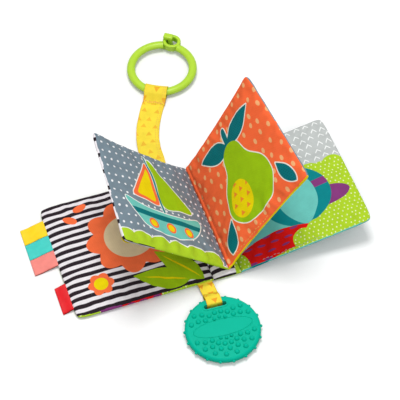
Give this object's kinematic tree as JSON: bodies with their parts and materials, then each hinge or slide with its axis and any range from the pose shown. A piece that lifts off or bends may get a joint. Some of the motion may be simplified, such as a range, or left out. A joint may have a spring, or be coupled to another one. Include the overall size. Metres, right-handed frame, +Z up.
{
  "type": "crinkle book",
  "caption": "Soft cloth crinkle book with padded covers and leaves, ribbon tags, a link ring on a strap and a bumpy teether.",
  "frame": {"origin": "middle of the spine's underside, on the table", "axes": "+X across the open book to the right cover, +Y along the spine towards the ring, +Z up"},
  "size_m": [0.3501, 0.4373, 0.141],
  "materials": {
    "striped_cloth": "printed woven polyester-cotton, matt",
    "slate_cloth": "printed woven polyester-cotton, matt",
    "coral_cloth": "printed woven polyester-cotton, matt",
    "lime_cloth": "printed woven polyester-cotton, matt",
    "grey_cloth": "printed woven polyester-cotton, matt",
    "aqua_cloth": "printed woven polyester-cotton, matt",
    "wadding": "loose polyester wadding",
    "crinkle_film": "thin clear crackling film",
    "yellow_ribbon": "printed woven ribbon, slight sheen",
    "turquoise_satin": "satin ribbon",
    "pink_satin": "satin ribbon",
    "yellow_satin": "satin ribbon",
    "red_label": "woven label ribbon, plain",
    "lime_plastic": "injection moulded, semi-gloss",
    "teal_rubber": "soft moulded silicone, satin"
  },
  "bodies": {
    "spine": {"spine_inside_strip": "striped_cloth", "spine_wadding": "wadding", "spine_outside_strip": "lime_cloth"},
    "left_cover": {"left_cover_inside_panel": "striped_cloth", "left_cover_crinkle_film": "crinkle_film", "left_cover_wadding_pad": "wadding", "left_cover_outside_panel": "lime_cloth"},
    "right_cover": {"right_cover_inside_panel": "grey_cloth", "right_cover_crinkle_film": "crinkle_film", "right_cover_wadding_pad": "wadding", "right_cover_outside_panel": "aqua_cloth"},
    "left_hem": {"left_leaf_hem": "slate_cloth"},
    "right_hem": {"right_leaf_hem": "coral_cloth"},
    "left_leaf": {"left_leaf_inside_panel": "slate_cloth", "left_leaf_crinkle_film": "crinkle_film", "left_leaf_wadding_pad": "wadding", "left_leaf_outside_panel": "striped_cloth"},
    "right_leaf": {"right_leaf_inside_panel": "coral_cloth", "right_leaf_crinkle_film": "crinkle_film", "right_leaf_wadding_pad": "wadding", "right_leaf_outside_panel": "slate_cloth"},
    "ring_strap_sewn_end": {"ring_strap_sewn_end": "yellow_ribbon"},
    "ring_strap": {"ring_strap": "yellow_ribbon"},
    "ring_loop": {"ring_strap_loop": "yellow_ribbon"},
    "link_ring": {"link_ring": "lime_plastic"},
    "teether_strap": {"teether_strap": "yellow_ribbon"},
    "teether_loop": {"teether_strap_loop": "yellow_ribbon"},
    "teether": {"teether": "teal_rubber"},
    "pink_tag": {"pink_ribbon_tag": "pink_satin"},
    "turquoise_tag": {"turquoise_ribbon_tag": "turquoise_satin"},
    "yellow_tag": {"yellow_ribbon_tag": "yellow_satin"},
    "red_tag": {"red_label_tag": "red_label"}
  },
  "joints": [
    {"name": "left_cover_hinge", "type": "hinge", "parent": "spine", "child": "left_cover", "pos_m": [-0.016, 0, 0.0045], "axis": [0, 1, 0], "range_deg": [0, 85]},
    {"name": "right_cover_hinge", "type": "hinge", "parent": "spine", "child": "right_cover", "pos_m": [0.016, 0, 0.0045], "axis": [0, -1, 0], "range_deg": [-11, 69]},
    {"name": "left_hem_fold", "type": "hinge", "parent": "spine", "child": "left_hem", "pos_m": [0.0005, 0, 0.011], "axis": [0, 1, 0], "range_deg": [0, 39.1]},
    {"name": "right_hem_fold", "type": "hinge", "parent": "spine", "child": "right_hem", "pos_m": [0.0035, 0, 0.011], "axis": [0, -1, 0], "range_deg": [-3.58, 22.43]},
    {"name": "left_leaf_turn", "type": "hinge", "parent": "left_hem", "child": "left_leaf", "pos_m": [-0.00243, 0, 0.01393], "axis": [0, 1, 0], "range_deg": [-39, 0]},
    {"name": "right_leaf_turn", "type": "hinge", "parent": "right_hem", "child": "right_leaf", "pos_m": [0.00559, 0, 0.01458], "axis": [0, -1, 0], "range_deg": [-45, 0]},
    {"name": "ring_strap_twist", "type": "hinge", "parent": "left_cover", "child": "ring_strap_sewn_end", "pos_m": [-0.0293, 0.0738, 0.003], "axis": [0, 1, 0], "range_deg": [-85, 0]},
    {"name": "ring_strap_lift", "type": "hinge", "parent": "ring_strap_sewn_end", "child": "ring_strap", "pos_m": [-0.0284, 0.082, 0.00135], "axis": [1, 0, 0], "range_deg": [0, 85]},
    {"name": "ring_loop_flip", "type": "hinge", "parent": "ring_strap", "child": "ring_loop", "pos_m": [0.00137, 0.17908, 0.0015], "axis": [-0.8746, 0.4848, 0], "range_deg": [-110, 0]},
    {"name": "link_ring_turn", "type": "hinge", "parent": "ring_loop", "child": "link_ring", "pos_m": [0.0245, 0.2208, 0.00672], "axis": [-0.0098, -0.0177, 0.9998], "range_deg": [-125, 125]},
    {"name": "teether_strap_twist", "type": "hinge", "parent": "left_cover", "child": "teether_strap", "pos_m": [-0.0257, -0.0732, 0.003], "axis": [0, 1, 0], "range_deg": [-85, 0]},
    {"name": "teether_flip", "type": "hinge", "parent": "teether_strap", "child": "teether_loop", "pos_m": [-0.02457, -0.08746, 0.0033], "axis": [0.9986, -0.0523, 0], "range_deg": [-80, 0]},
    {"name": "teether_slide", "type": "slide", "parent": "teether_loop", "child": "teether", "axis": [0.9986, -0.0523, 0], "range_m": [-0.002, 0.002]},
    {"name": "pink_tag_flip", "type": "hinge", "parent": "left_cover", "child": "pink_tag", "pos_m": [-0.16335, 0.0074, 0.0037], "axis": [0, -1, 0], "range_deg": [-110, 0]},
    {"name": "turquoise_tag_flip", "type": "hinge", "parent": "left_cover", "child": "turquoise_tag", "pos_m": [-0.16335, 0.0277, 0.0037], "axis": [0, -1, 0], "range_deg": [-110, 0]},
    {"name": "yellow_tag_flip", "type": "hinge", "parent": "left_cover", "child": "yellow_tag", "pos_m": [-0.16335, 0.048, 0.0037], "axis": [0, -1, 0], "range_deg": [-110, 0]},
    {"name": "red_tag_flip", "type": "hinge", "parent": "left_cover", "child": "red_tag", "pos_m": [-0.16335, -0.0436, 0.0037], "axis": [0, -1, 0], "range_deg": [-110, 0]}
  ],
  "couplings": [
    {"joint": "left_hem_fold", "follows": "left_cover_hinge", "ratio": 0.46},
    {"joint": "right_hem_fold", "follows": "right_cover_hinge", "ratio": 0.325},
    {"joint": "ring_strap_twist", "follows": "left_cover_hinge", "ratio": -1},
    {"joint": "teether_strap_twist", "follows": "left_cover_hinge", "ratio": -1}
  ]
}
